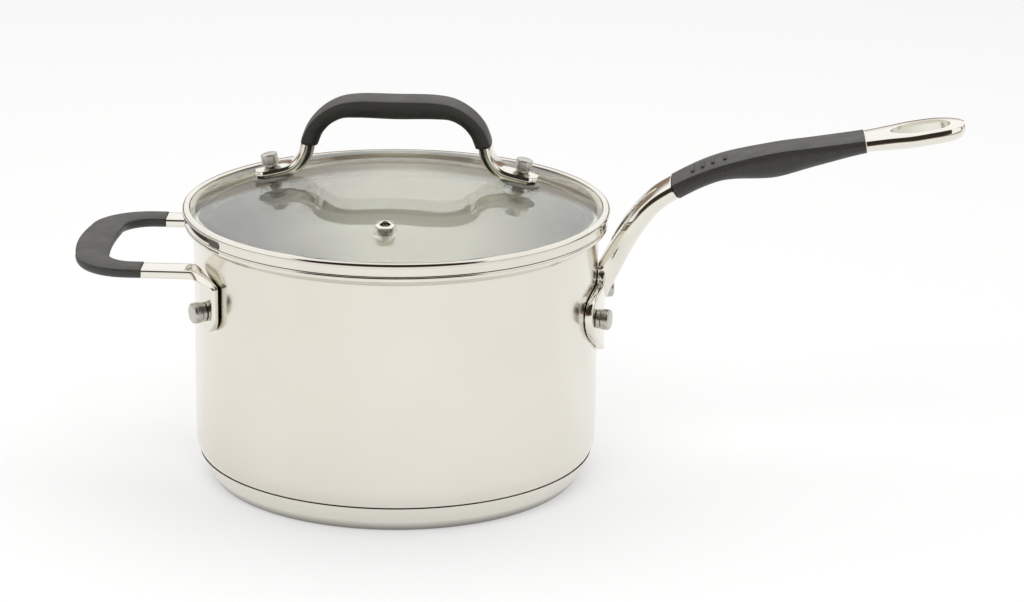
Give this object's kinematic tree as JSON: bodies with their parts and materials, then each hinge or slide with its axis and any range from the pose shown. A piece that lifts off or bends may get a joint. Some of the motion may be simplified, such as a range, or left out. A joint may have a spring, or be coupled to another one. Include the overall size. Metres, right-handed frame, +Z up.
{
  "type": "saucepan with lid",
  "caption": "Polished steel saucepan with a long hollow-ended handle, a loop helper handle and a lift-off domed glass lid with a steam vent.",
  "frame": {"origin": "the pan's axis at the flat underside of its base", "axes": "+X along the long handle, -X toward the helper handle, -Y toward the steam vent, +Z up"},
  "size_m": [0.4395, 0.213, 0.1939],
  "materials": {
    "pan_steel": "mirror polished stainless steel",
    "base_steel": "satin stainless steel, turned",
    "base_aluminium": "plain",
    "handle_steel": "polished cast stainless steel",
    "rivet_steel": "satin stainless steel",
    "lid_steel": "polished rolled stainless steel",
    "lid_glass": "clear tempered glass",
    "grip": "matte charcoal silicone",
    "gasket": "dark silicone"
  },
  "bodies": {
    "pan": {"pan_body": "pan_steel", "base_core": "base_aluminium", "base_cap": "base_steel", "main_handle": "handle_steel", "main_grip": "grip", "helper_handle": "handle_steel", "helper_grip": "grip", "main_rivet_front": "rivet_steel", "main_rivet_back": "rivet_steel", "helper_rivet_front": "rivet_steel", "helper_rivet_back": "rivet_steel", "main_collar_front": "rivet_steel", "main_collar_back": "rivet_steel", "helper_collar_front": "rivet_steel", "helper_collar_back": "rivet_steel"},
    "lid": {"lid_glass": "lid_glass", "lid_rim": "lid_steel", "lid_handle": "handle_steel", "lid_grip": "grip", "vent_eyelet": "lid_steel", "vent_washer": "lid_steel", "foot_gasket_left": "gasket", "foot_gasket_right": "gasket", "under_gasket_left": "gasket", "under_gasket_right": "gasket", "under_washer_left": "rivet_steel", "under_washer_right": "rivet_steel", "barrel_nut_left": "lid_steel", "barrel_nut_right": "lid_steel", "lid_screw_left": "rivet_steel", "lid_screw_right": "rivet_steel"}
  },
  "joints": [
    {"name": "lid_lift", "type": "slide", "parent": "pan", "child": "lid", "axis": [0, 0, 1], "range_m": [0, 0.13]}
  ]
}
